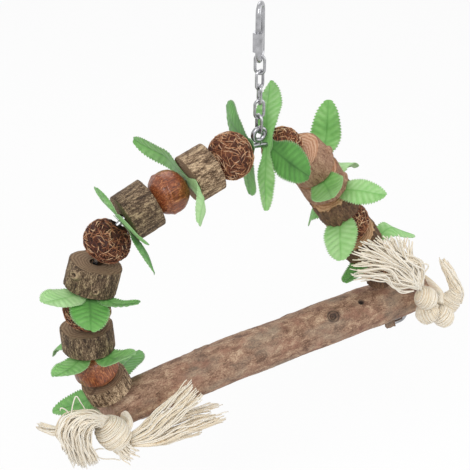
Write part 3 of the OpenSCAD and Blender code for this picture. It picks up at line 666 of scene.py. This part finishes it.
def branch_slice(n):
    matrix = wire_frame("slice", n, BEAD_SAG, SLICE_TILTS.get(n, (0, 0)))
    r0, length, bore = SLICE_RS[n], LENGTHS["slice"][n], SLICE_BORE_RS[n]
    build = Build()

    def rim(k, z):
        """Radius of the bark at a column and height, and how dark it is."""
        degrees = 360 * k / SLICE_COLUMNS
        a = radians(degrees)
        x, y = cos(a), sin(a)
        r = r0 * (1 + ripple(SLICE_RIPPLES, degrees, n))
        ridge = rough((x * r0 + SLICE_SEED * n, y * r0, z * 0.22), 2.3, 4)
        flake = rough((x * r0, y * r0 + SLICE_SEED * n, z * 0.6), 3.4, 3)
        r += RIDGE_DEPTHS[n] * (0.75 * ridge + 0.5 * flake - 0.6)
        # The tone follows the same ridge noise that raises the bark, so the furrows are darker: partly bark
        # colour, partly painted shade.
        tone = 0.5 + 0.5 * ridge
        for direction, share, size in SLICE_STUBS.get(n, ()):
            gap = (degrees - direction + 180) % 360 - 180
            off = hypot(radians(gap) * r0, z - length * share) / (STUB_R * size)
            if off < 2:
                hollow = 1.6 * size * smooth((0.6 - off) / 0.35)
                r += STUB_LENGTH * size * 0.95 * smooth((1.55 - off) / 0.8) - hollow
                # Lighter over the stub and much darker in the pit at its middle: painted shade in the pit.
                tone += 0.35 * smooth((1.3 - off) / 0.5) - 0.9 * smooth((0.55 - off) / 0.3)
        return r, tone

    def spot(r, k, z, tone, part):
        q = polar(r, tau * k / SLICE_COLUMNS, z)
        return build.add(matrix @ q * MM, q + Vector((SLICE_SEED * n, 0, 0)), tone, part)

    def end_z(k, r, sign):
        """Height of a sawn end, with a little saw mark and the odd chip at its rim."""
        a = tau * k / SLICE_COLUMNS
        mark = 0.05 * rough(polar(r, a, 9 * n + 30 * sign), 8, 2)
        broken = max(0.0, rough(polar(4, a, n + 5 * sign), 1.4))
        chip = CHIPS.get(n, 0.5) * smooth((r / r0 - 0.72) / 0.28) * broken
        return sign * (length / 2 - END_INSET - abs(mark) * 0.6 - chip)

    def ring_tone(k, r):
        """Growth rings of a sawn face, round a pith beside the bore, and the crack of a few slices."""
        a = tau * k / SLICE_COLUMNS
        x, y = r * cos(a), r * sin(a)
        rings = sin(tau * (hypot(x - 1.5, y + 1) / RING_PITCH + 0.5 * rough((x, y, n), 9, 2)))
        crack = cos((a - 1.9 * n - 2.4) / 2) ** 2
        return 0.5 + 0.22 * rings - (0.75 * smooth((crack - 0.997) / 0.002) if n in CRACKED else 0)

    def sawn_face(sign):
        """Rows from the bore out to the rim."""
        rims = [rim(k, sign * length / 2) for k in range(SLICE_COLUMNS)]
        rows = []
        for share in [j / FACE_RINGS for j in range(FACE_RINGS)] + [1 - EDGE, 1.0]:
            bark_share = smooth((share - 0.955) / 0.03)
            row = []
            for k, (outer, tone) in enumerate(rims):
                r = bore + (outer - RIM_INSET - bore) * share
                tone = tone if bark_share > 0.5 else ring_tone(k, r)
                row.append(spot(r, k, end_z(k, r, sign), tone, 1 - bark_share))
            rows.append(row)
        return rows

    grid = sawn_face(-1)
    for share in [EDGE, *(i / SLICE_ROWS for i in range(1, SLICE_ROWS)), 1 - EDGE]:
        row = []
        for k in range(SLICE_COLUMNS):
            low, high = end_z(k, r0, -1), end_z(k, r0, 1)
            z = low + (high - low) * share
            r, tone = rim(k, z)
            row.append(spot(r, k, z, tone, 0.0))
        grid.append(row)
    grid += sawn_face(1)[::-1]
    # The bore's walls get a darker sawn tone: painted shade inside the bore.
    for share in (0.5, 0, -0.5):
        grid.append([spot(bore, k, length * share, 0.3, 1.0) for k in range(SLICE_COLUMNS)])
    build.grid(grid + [grid[0]])
    build.piece(f"wood_slice_{n + 1}", f"slice_{n + 1}", "slice_wood", BARKS[n], PLACES["slice", n][0])


for number in range(len(SLICE_RS)):
    branch_slice(number)

# ---- leaves

LEAF_STATIONS, LEAF_COLUMNS, LEAF_TEETH, LEAF_VEINS, LEAF_SEED = 144, 20, 24, 10, 60
LEAF_SKIN, TOOTH_DEPTH, VEIN_HEIGHT, RIB_DEPTH = 0.36, 1.9, 0.95, 0.55


def leaf_place(run, flat, bend, bend_run):
    """Place and slope along a leaf that lies flat past the bead's rim and then bends."""
    angle = 0.0 if run <= flat else radians(bend) * min(1.0, (run - flat) / bend_run)
    r = bend_run / abs(radians(bend))
    rest = max(0.0, run - flat - bend_run)
    bent = abs(angle)
    x = min(run, flat) + r * sin(bent) + rest * cos(bent)
    z = math.copysign(1, bend) * (r * (1 - cos(bent)) + rest * sin(bent))
    return x, z, angle


def one_leaf(build, matrix, turn, bend, length, width, shift, rng):
    spin = matrix @ Matrix.Translation((0, 0, shift)) @ Matrix.Rotation(radians(turn), 4, "Z")
    flat = SLICE_D / 2 * (1 + LEAF_FLAT_SHARE)
    shares, halves = zip(*LEAF_OUTLINE)
    sign = math.copysign(1, bend)
    cup = rng.uniform(0.1, 0.2)
    wave, phase = rng.uniform(0.5, 1.3), rng.uniform(0, 6)
    shade = rng.uniform(-0.24, 0.3)
    rows = {1: [], -1: []}
    for i in range(LEAF_STATIONS + 1):
        share = shares[0] + (shares[-1] - shares[0]) * i / LEAF_STATIONS
        run = length * share
        fuller = 1 - 0.35 * smooth((share - 0.55) / 0.3)
        half = width / 2 * max(0.05, table_value(shares, halves, share)) ** fuller
        free = smooth((run - flat) / 9)
        tooth = abs(sin(pi * share * LEAF_TEETH))
        half -= TOOTH_DEPTH * smooth(share * 4) * (1 - tooth) * min(1.0, half / 6) - 0.4
        x, z, angle = leaf_place(run, flat, bend, length * LEAF_BEND_SHARE)
        up = Vector((-sin(angle), 0, cos(angle)))
        line = {1: [], -1: []}
        for k in range(-LEAF_COLUMNS // 2, LEAF_COLUMNS // 2 + 1):
            across = 2 * k / LEAF_COLUMNS
            side = abs(across)
            fold = half * side * LEAF_FOLD_SHARE * (sign if run > flat else 0)
            lift = cup * sign * half * side * side * 0.6 * free
            lift += free * wave * sin(share * 7 + phase + across * 1.3) * (0.3 + 0.7 * side) * 0.8
            vein = 0.5 - 0.5 * cos(tau * (LEAF_VEINS * share - 1.15 * side))
            puff = vein * math.sqrt(side) * (1 - side ** 6) * smooth(share * 3) * smooth((1 - share) * 5)
            rib = math.exp(-((across * half / 0.7) ** 2))
            lift += free * (VEIN_HEIGHT * puff - RIB_DEPTH * rib)
            q = Vector((x, half * across, z)) + up * (fold + lift)
            # Lighter where the leaf puffs up between the veins, darker in the vein creases and along the sunk
            # midrib: painted light and shade on the relief.
            tone = 0.5 + shade + 0.16 * (puff - 0.4) + 0.1 * (share - 0.4) - 0.1 * rib
            edge = smooth((side - 0.93) / 0.07) * 0.35
            for face in (1, -1):
                p = q + up * face * LEAF_SKIN / 2
                place = (run, half * across, LEAF_SEED * turn + 9 * face)
                line[face].append(build.add(spin @ p * MM, place, tone, edge))
        for face in (1, -1):
            rows[face].append(line[face])
    top, bottom = rows[1], rows[-1]
    for patch, flip in (
        (top, True), (bottom, False), ([(a[0], b[0]) for a, b in zip(top, bottom)], True),
        ([(a[-1], b[-1]) for a, b in zip(top, bottom)], False), ((top[0], bottom[0]), False),
        ((top[-1], bottom[-1]), True),
    ):
        build.grid(patch, closed=False, flip=flip)


def leaf_sprig(n):
    rng = random.Random(300 + n)
    leaves = LEAF_SETS[n]
    matrix = wire_frame("leaf", n, 0, LEAF_TILTS.get(n, (0, 0)))
    build = Build()
    for i, (turn, bend, length, width) in enumerate(leaves):
        shift = (i - (len(leaves) - 1) / 2) * LEAF_PITCH
        one_leaf(build, matrix, turn, bend, LEAF_LENGTH * length, LEAF_WIDTH * width, shift, rng)
    build.piece(f"leaves_{n + 1}", f"leaf_sprig_{n + 1}", "leaf_silk", LEAF_LOOK, PLACES["leaf", n][0])


for number in range(len(LEAF_SETS)):
    leaf_sprig(number)

# ---- perch

PERCH_RINGS, PERCH_COLUMNS = 440, 144
PERCH_KNOTS = [
    # share along, degrees round, radius, rise, darkness, hole depth
    (0.771, 117, 2.6, 0.3, 1, 3.4), (0.671, 128, 4.4, 1.1, 0.9, 0.7), (0.43, 156, 4.2, 0.5, 0.4, 0.1),
    (0.30, 60, 5, 0.8, 0.5, 0.2), (0.58, 20, 5, 0.9, 0.6, 0.3), (0.2, -100, 5, 0.7, 0.5, 0.2),
    (0.86, -60, 5, 0.6, 0.5, 0.2),
]
# holes deeper than HOLE_DEPTH are painted dark inside, as painted shade
KNOT_RINGS, HOLE_DEPTH = (0.05, 0.5, 1.0), 2
# rings of a sawn end: radius as a share of the end's, inset and how sawn it looks
PERCH_END = ((0.02, 0.5, 1), (0.3, 0.35, 1), (0.6, 0.2, 1), (0.85, 0.1, 1), (0.93, 0.1, 1), (0.96, 0.3, 0.3))
TWIG_SHARE, TWIG_D, TWIG_LENGTH, TWIG_LEAN = 0.375, 9, 7, 25
TWIG_ROWS, TWIG_COLUMNS, TWIG_ROOT = 12, 30, 10
# rings of its broken end: radius as a share of the twig's, and depth
TWIG_END = ((0.7, 0.6), (0.35, 1.6), (0.05, 2.2))


def perch():
    build = Build()
    shares = [i / (len(PERCH_WIDTHS) - 1) for i in range(len(PERCH_WIDTHS))]
    left = PERCH_SHIFT - PERCH_LENGTH / 2

    def point(share, degrees, shrink, inset):
        a = radians(degrees)
        r = PERCH_D / 2 * table_value(shares, PERCH_WIDTHS, share)
        r *= 1 + ripple(PERCH_RIPPLES, degrees, share)
        x = left + PERCH_LENGTH * share
        y, z = r * cos(a), r * sin(a)
        p = (x * 0.5, y, z)
        r += 0.6 * rough(p, 16, 2) + 0.22 * rough(p, 3.5, 3) + 0.14 * rough((x * 0.3, y, z), 1.2, 2) + 0.35
        tone = 0.0
        for at, around, size, rise, dark, hole in PERCH_KNOTS:
            step = (share - at) * PERCH_LENGTH
            gap = radians((degrees - around + 180) % 360 - 180) * r
            off = hypot(step * 0.85, gap) / size
            if off < 2.6:
                r += rise * math.exp(-(((off - 1.0) / 0.42) ** 2)) - hole * smooth((0.85 - off) / 0.4)
                rings = max(math.exp(-(((off - at_ring) / 0.13) ** 2)) for at_ring in KNOT_RINGS)
                whorl = 0.85 * rings + 0.25 * smooth(1.6 - off)
                # A hole deeper than HOLE_DEPTH is darkened inside: painted shade in the hole. Other knots get
                # dark rings of grain.
                tone = max(tone, dark * (smooth((1.1 - off) / 0.4) if hole > HOLE_DEPTH else whorl))
        rise = PERCH_BOW * (4 * share * (1 - share) - 1)
        slant = PERCH_SLANT * max(0.0, 1 - share / PERCH_SLANT_RUN)
        y, z = r * shrink * cos(a), r * shrink * sin(a)
        return Vector((x - slant * y + inset, y, PERCH_Z + rise + z)), tone

    def ring(share, shrink, inset, part=0.0):
        row = []
        for k in range(PERCH_COLUMNS):
            p, tone = point(share, 360 * k / PERCH_COLUMNS, shrink, inset)
            row.append(build.add(p * MM, p, tone * (1 - part), part))
        return row

    grid = [ring(0, *row) for row in PERCH_END]
    for i in range(PERCH_RINGS + 1):
        share = i / PERCH_RINGS
        soft = min(share, 1 - share) * PERCH_LENGTH
        grid.append(ring(share, 1 - 0.02 * max(0.0, 1 - soft / 1.5), 0.5 if i == 0 else 0.0))
    grid += [ring(1, shrink, -inset, part) for shrink, inset, part in PERCH_END[::-1]]
    build.grid(grid, flip=True)
    build.faces.append(tuple(grid[0]))
    build.faces.append(tuple(grid[-1][::-1]))

    # the broken twig under it
    lean = radians(180 - TWIG_LEAN)
    way = Vector((0, -sin(lean), cos(lean)))
    base = Vector((PERCH_SHIFT + PERCH_LENGTH * TWIG_SHARE, 0, PERCH_Z))
    side = way.cross(Vector((1, 0, 0)))
    reach = PERCH_D / 2 + TWIG_LENGTH

    def twig_spot(k, out, r, tone):
        a = tau * k / TWIG_COLUMNS
        p = base + way * out + turned(Vector((1, 0, 0)), side, a) * r
        return build.add(p * MM, p, tone)

    rows = []
    for i in range(TWIG_ROWS + 1):
        out = TWIG_ROOT + (reach - TWIG_ROOT) * i / TWIG_ROWS
        flare = 1 + 0.5 * smooth((17 - out) / 6)
        row = []
        for k in range(TWIG_COLUMNS):
            a = tau * k / TWIG_COLUMNS
            r = TWIG_D / 2 * flare * (1 + 0.08 * rough(polar(3, a, out * 0.3), 2))
            jag = 1.1 * rough(polar(4, a, 3), 2.2) - 0.8 if i == TWIG_ROWS else 0
            # The twig's sides are a little darker than the perch, its broken rim darker still.
            row.append(twig_spot(k, out + jag, r, 0.35 if i < TWIG_ROWS else 0.6))
        rows.append(row)
    for share, deep in TWIG_END:
        out = reach - 0.8 - deep * 0.5
        # The hollow of the broken end is darkest: painted shade in the hollow.
        rows.append([twig_spot(k, out, TWIG_D / 2 * share, 0.8) for k in range(TWIG_COLUMNS)])
    build.grid(rows)
    build.faces.append(tuple(rows[-1]))
    build.piece("bark_perch", "perch", "perch_wood", PERCH_LOOK)


perch()

# ---- cotton

YARN_R, YARN_STEPS, BUNDLE_SQUASH = 0.62, 22, 0.75
CORE_ROWS, CORE_COLUMNS, WOUND_PITCH, WOUND_STEPS = 17, 32, 0.82, 30
ROPE_D, ROPE_YARNS, ROPE_CORE_YARNS, ROPE_TURNS, KNOT_D = 8, 20, 10, 2.2, 28
ROPE_INSET, ROPE_OFF_SHARE, ROPE_END_SHARE, ROPE_STOP_SHARE = 9, 0.85, 1.15, 0.35
TASSEL_YARNS = 86
TIPS_AT, TIPS = (0, 0.3, 0.5, 0.75, 1), ((410, 243), (384, 238), (366, 243), (354, 262), (353, 282))
MIDS_AT, MIDS = (0, 0.5, 1), ((418, 259), (398, 257), (388, 279))
TASSEL_ROOTS = ((419, 288), (416, 284), (421, 285))
# yarns, depth, tone and reach of the layers of the left skirt; the back layers have darker tones, painted
# shade inside the skirt
SKIRT_LAYERS = ((110, -37, 0.62, 1.0), (70, -27, 0.42, 0.92), (50, -18, 0.3, 0.95))
HEM_AT, HEM = (0, 0.3, 0.6, 1), ((64, 446), (72, 459), (84, 467), (98, 461))
STRAYS = (
    (
        (88, 414, -33), (81, 403, -34), (76, 396, -34), (73, 404, -35), (71, 417, -37), (70, 436, -40),
        (76, 452, -36),
    ),
    ((70, 416, -36), (66, 410, -35), (61, 408, -34), (60, 411, -34)),
    ((67, 450, -33), (69, 458, -32), (74, 468, -31)),
    ((92, 452, -33), (98, 449, -33), (104, 449, -33)),
    ((94, 456, -31), (104, 459, -32), (114, 459, -32), (120, 460, -32), (120, 456, -32)),
)


def px(*places):
    """A curve through pixels, each with a depth along Y in mm."""
    return [seen_at(u, v, y) for u, v, y in places]


def near(rng, x, reach):
    return x + rng.uniform(-reach, reach)


def bundle(build, points, sizes, count, rng, twist, waver, fray, ragged):
    """Wavy yarns along a curve: sizes are the half widths in mm along it, and fray spreads their ends."""
    last = YARN_STEPS - 1
    path = path_points(points, YARN_STEPS)
    at = [i / (len(sizes) - 1) for i in range(len(sizes))]
    for _ in range(count):
        around = rng.uniform(0, tau)
        deep = math.sqrt(rng.uniform(0.25, 1))
        phases = [rng.uniform(0, 6) for _ in range(4)]
        swing = rng.uniform(0.5, 1.2) * waver
        stop = 1 - rng.uniform(0, ragged) - fray * 0.1 * rng.random()
        spread = fray * rng.uniform(-0.1, 0.35)
        line = []
        for i in range(YARN_STEPS):
            t = i / last * stop
            f = t * last
            j = min(int(f), last - 1)
            way = heading(path, j - 1, j + 2)
            across = way.cross(ahead).normalized()
            half = table_value(at, sizes, t) * (1 + spread * t * t) * deep
            a = around + twist * t * tau
            waves = [
                swing * (sin(slow * t + phase) + 0.6 * sin(fast * t + other)) * smooth(t * 3)
                for slow, fast, phase, other in ((9, 21, *phases[:2]), (8, 19, *phases[2:]))
            ]
            aside = across * (half * cos(a) + waves[0])
            over = across.cross(way) * (half * BUNDLE_SQUASH * sin(a) + waves[1] * 0.6)
            line.append(path[j].lerp(path[j + 1], f - j) + (aside + over) * MM)
        build.tube(line, YARN_R * rng.uniform(0.8, 1.15), clamp(rng.gauss(0.55, 0.2)), 0.4)


def wound_ball(build, place, long, wide, turn, lean, rng, tone=0.62):
    """A lobe of a knot: yarns round an axis that is turned up from the right and leaned to the viewer."""
    turn, lean = radians(turn), radians(lean)
    axis = (right * cos(turn) + above * sin(turn)) * cos(lean) - ahead * sin(lean)
    across = axis.cross(ahead).normalized()
    over = axis.cross(across)
    middle = seen_at(*place)

    def at(s, a, r):
        return middle + (axis * s * long + turned(across, over, a) * r) * MM

    # A darker core under the wound yarns: painted shade in the gaps between them.
    rows = []
    for i in range(CORE_ROWS):
        s = -cos(pi * (i + 0.3) / (CORE_ROWS - 0.4))
        r = (wide - 0.5) * math.sqrt(max(0.0, 1 - s * s))
        angles = [tau * k / CORE_COLUMNS for k in range(CORE_COLUMNS)]
        rows.append([build.add(at(s * 0.97, a, r), at(s, 0, r) / MM, 0.25) for a in angles])
    build.grid(rows)
    build.faces.append(tuple(rows[0][::-1]))
    build.faces.append(tuple(rows[-1]))
    count = round(long * 2 / WOUND_PITCH)
    for n in range(count):
        s = -1 + 2 * (n + 0.5 + rng.uniform(-0.2, 0.2)) / count
        r = wide * math.sqrt(max(0.02, 1 - s * s)) + rng.uniform(-0.25, 0.3)
        skew, phase = rng.uniform(-0.1, 0.1), rng.uniform(0, 6)
        angles = [tau * i / WOUND_STEPS + phase for i in range(WOUND_STEPS + 2)]
        line = [at(s + skew * cos(a + phase) * r / long, a, r) for a in angles]
        build.tube(line, YARN_R * rng.uniform(0.72, 0.95), clamp(rng.gauss(tone, 0.17)), sides=4)


def wavy(line, rng, paces, waver):
    """A yarn's curve through a few points, wavering across the picture."""
    phases = rng.uniform(0, 6), rng.uniform(0, 6)
    curve = []
    for i, p in enumerate(path_points(line, YARN_STEPS)):
        way = right * sin(i * paces[0] + phases[0]) + above * sin(i * paces[1] + phases[1])
        curve.append(p + way * waver * MM * smooth(i / 8))
    return curve


def cotton_piece(build, node):
    """The yarns that are seen in place of a node."""
    build.piece(node.replace("side_tassel", "side") + "_yarn", node, "cotton", COTTON)


def left_cotton():
    rng = random.Random(11)
    tassel = Build()
    for line, sizes, count, waver, fray, ragged in (
        (((129, 440, -31), (148, 431, -31), (166, 416, -32), (184, 400, -33), (200, 385, -33)),
         (4, 7, 8.5, 8, 8.5), 52, 0.9, 0.8, 0.16),
        (((130, 442, -31), (155, 436, -31), (180, 425, -30), (202, 418, -29), (226, 411, -28)),
         (4, 7.5, 9, 9, 7), 62, 1.0, 0.7, 0.2),
        (((131, 443, -31), (156, 440, -30), (182, 434, -28), (204, 430, -27)),
         (3, 5, 5, 4), 22, 0.9, 0.6, 0.16),
    ):
        bundle(tassel, px(*line), sizes, count, rng, 0.1, waver, fray, ragged)
    cotton_piece(tassel, "left_tassel")

    knot = Build()
    wound_ball(knot, (113, 433, -31), 14.5, 12.2, 128, 24, rng)
    wound_ball(knot, (120, 444, -30), 9, 7.2, 118, 10, rng, 0.55)
    stub = px((117, 436, -37), (122, 445, -38), (128, 452, -37), (134, 456, -35))
    bundle(knot, stub, [3, 5.5, 7, 8], 46, rng, 0.06, 0.4, 0.5, 0.3)
    cotton_piece(knot, "left_knot")

    # the skirt: yarns fan from the knot over the top and down to a hem
    tail = Build()
    for count, y, tone, reach in SKIRT_LAYERS:
        for n in range(count):
            f = near(rng, n, 0.5) / count
            hem_u, hem_v = along(HEM_AT, HEM, f)
            hem_v = hem_v * reach + (1 - reach) * 440
            bulge = 6 * sin(pi * clamp(f))
            deep = y + 5 * sin(2.4 * n)
            line = px(
                (near(rng, 108 - 5 * f, 1), near(rng, 417 + 10 * f, 1), -31),
                (near(rng, 86 + 11 * f, 2), near(rng, 411 + 14 * f, 2), deep - bulge * 0.4),
                (near(rng, 66 + 26 * f, 2), near(rng, 416 + 14 * f, 2), deep - bulge),
                (near(rng, 57 + 32 * f, 2), near(rng, 430 + 10 * f, 2), deep - bulge),
                (near(rng, hem_u, 3), hem_v + rng.uniform(-4, 2), near(rng, deep, 3)),
            )
            curve = wavy(line, rng, (0.55, 0.48), 0.7)
            # the deeper layers take darker tones: painted shade inside the skirt
            tail.tube(curve, YARN_R * rng.uniform(0.75, 1.05), clamp(rng.gauss(tone, 0.16)), 0.35)
    end = px((76, 424, -22), (64, 430, -14), (54, 431, -6), (44, 428, 1), (36, 425, 6))
    bundle(tail, end, [4, 4.5, 4, 3.6, 2.6], 34, rng, 0.3, 0.3, 0.2, 0.1)
    for stray in STRAYS:
        tail.tube(path_points(px(*stray), 26), 0.5, 0.75, 0.5)
    cotton_piece(tail, "left_side_tassel")


def right_cotton():
    rng = random.Random(12)
    tassel = Build()
    for n in range(TASSEL_YARNS):
        share = near(rng, n, 0.4) / (TASSEL_YARNS - 1)
        # the tips run from under the top edge round to the lowest strand
        tip_u, tip_v = along(TIPS_AT, TIPS, share)
        mid_u, mid_v = along(MIDS_AT, MIDS, share)
        root_u, root_v = TASSEL_ROOTS[n % len(TASSEL_ROOTS)]
        y = rng.uniform(-38, -28)
        line = px(
            (near(rng, root_u, 3), near(rng, root_v, 3), near(rng, -31, 2)),
            (near(rng, mid_u + 8, 4), near(rng, mid_v + 9, 4), y + 1),
            (near(rng, mid_u - 6, 4), near(rng, mid_v, 4), y),
            (tip_u + rng.uniform(-6, 9), near(rng, tip_v, 3), near(rng, y, 3)),
        )
        curve = wavy(line, rng, (6 / 11, 6 / 11), 0.8)
        tassel.tube(curve, 0.68 * rng.uniform(0.85, 1.15), clamp(rng.gauss(0.68, 0.18)), 0.3)
    for dip in (0, 2):
        line = px((388, 278, -33), (391 + 2 * dip, 286 + dip, -33), (402, 291 + dip, -32), (414, 291, -31))
        tassel.tube(path_points(line, 20), 0.6, 0.8, 0.3)
    cotton_piece(tassel, "right_tassel")

    knot = Build()
    wound_ball(knot, (426, 298, -31), 9.5, 9.5, 160, 20, rng)
    wound_ball(knot, (427, 313, -32), 9.8, 9.2, 20, 25, rng, 0.56)
    wound_ball(knot, (443, 316, -31), 10, 9, 140, 25, rng)
    wound_ball(knot, (450, 302, -26), 12, 8.5, 60, 15, rng, 0.55)
    cotton_piece(knot, "right_knot")

    tail = Build()
    end = px((455, 302, -22), (457, 292, -18), (453, 280, -14), (447, 268, -10), (440, 257, -6))
    bundle(tail, end, [6, 6, 5, 3.6, 2], 46, rng, 0.3, 0.5, 0.2, 0.2)
    cotton_piece(tail, "right_side_tassel")


def rope_route(rope_x, end_x, out, knot):
    """From the knot through the perch and back round its end to the knot, in mm."""
    off_y = PERCH_D / 2 + ROPE_D * ROPE_OFF_SHARE
    out_x = end_x + out * ROPE_D * ROPE_END_SHARE
    first, last = Vector((rope_x, -off_y, PERCH_Z)), Vector((out_x, -off_y * 0.7, PERCH_Z))
    points = [
        knot.lerp(first, ROPE_STOP_SHARE), first, Vector((rope_x, 0, PERCH_Z)),
        Vector((rope_x, off_y, PERCH_Z)), Vector((out_x, off_y, PERCH_Z)), last,
        knot.lerp(last, ROPE_STOP_SHARE),
    ]
    for _ in range(2):
        cut = [points[0]]
        for a, b in zip(points, points[1:]):
            cut += [a.lerp(b, 0.25), a.lerp(b, 0.75)]
        points = cut + [points[-1]]
    return points


def ropes():
    """The rope through each end of the perch: yarns laid round each other."""
    for side, out, knot_x, knot_shares, seed in (
        ("left", -1, -ROPE_D, (0.14, -1.1, -0.11), 21), ("right", 1, 0, (-0.12, -1.1, -0.23), 22),
    ):
        end_x = PERCH_SHIFT + out * PERCH_LENGTH / 2
        knot = Vector((end_x + knot_x, 0, PERCH_Z)) + KNOT_D * Vector(knot_shares)
        rng = random.Random(seed)
        build = Build()
        path = path_points([p * MM for p in rope_route(end_x - out * ROPE_INSET, end_x, out, knot)], 90)
        last = len(path) - 1
        for n in range(ROPE_YARNS + ROPE_CORE_YARNS):
            core = n - ROPE_YARNS
            ring, around = (1, n / ROPE_YARNS) if core < 0 else (0.55, core / ROPE_CORE_YARNS)
            line = []
            for i, p in enumerate(path):
                way = heading(path, i - 1, i + 1)
                across = way.cross(Vector((0, 0, 1))).normalized()
                a = tau * (around + ROPE_TURNS * i / last) + 0.1 * sin(i * 0.5 + n)
                line.append(p + turned(across, across.cross(way), a) * (ROPE_D / 2 - YARN_R) * ring * MM)
            build.tube(line, YARN_R * 1.05, clamp(rng.gauss(0.55, 0.18)), 0.2)
        cotton_piece(build, f"{side}_rope")


left_cotton()
right_cotton()
ropes()

# ---- floor, light and world

FLOOR_Z, FLOOR_REACH = -0.62, 6
GLOW_STRENGTH, GLOW_SHARE = 1.03, 0.82
SKY_STRENGTHS = (0.55, 1.0)
LAMP_TARGET = Vector((0, 0, -0.2))


def floor():
    """A wide plane that glows where it is seen and takes soft shadows."""
    mesh = bpy.data.meshes.new("floor")
    corners = [(x * FLOOR_REACH, y * FLOOR_REACH, FLOOR_Z) for x, y in ((-1, -1), (1, -1), (1, 1), (-1, 1))]
    mesh.from_pydata(corners, [], [(0, 1, 2, 3)])
    made = new_object("floor", mesh)
    look = Look("floor_look", 0.9)
    look.fill(look.shader, Base_Color=look.ramp(look.object_noise(3, 3), (0.3, 0.86), (0.7, 0.88)))
    glow = look.node("Emission", Color=tint(1), Strength=GLOW_STRENGTH)
    share = look.calc(look.seen(), GLOW_SHARE, "MULTIPLY")
    look.fill(look.nodes["Material Output"], Surface=look.shader_mix(share, look.shader, glow))
    mesh.materials.append(look.material)


def lamp(name, place, size, power):
    data = bpy.data.lights.new(name, "AREA")
    data.size, data.energy = size, power
    made = new_object(name, data)
    made.location = place
    made.rotation_euler = (LAMP_TARGET - Vector(place)).to_track_quat("-Z", "Y").to_euler()


def world():
    """White where it is seen, softer as a light."""
    made = bpy.data.worlds.new("studio")
    scene.world = made
    made.use_nodes = True
    sky = Nodes(made.node_tree)
    sky.nodes.clear()
    soft, white = (sky.node("Background", Color=tint(1), Strength=strength) for strength in SKY_STRENGTHS)
    sky.node("OutputWorld", Surface=sky.shader_mix(sky.seen(), soft, white))


floor()
world()
lamp("key", (-0.9, -1.0, 1.1), 0.9, 16)
lamp("fill", (1.1, -0.9, 0.3), 1.2, 5)
lamp("back", (0.3, 1.2, 0.9), 1.0, 5)
scene.view_settings.view_transform = "Standard"
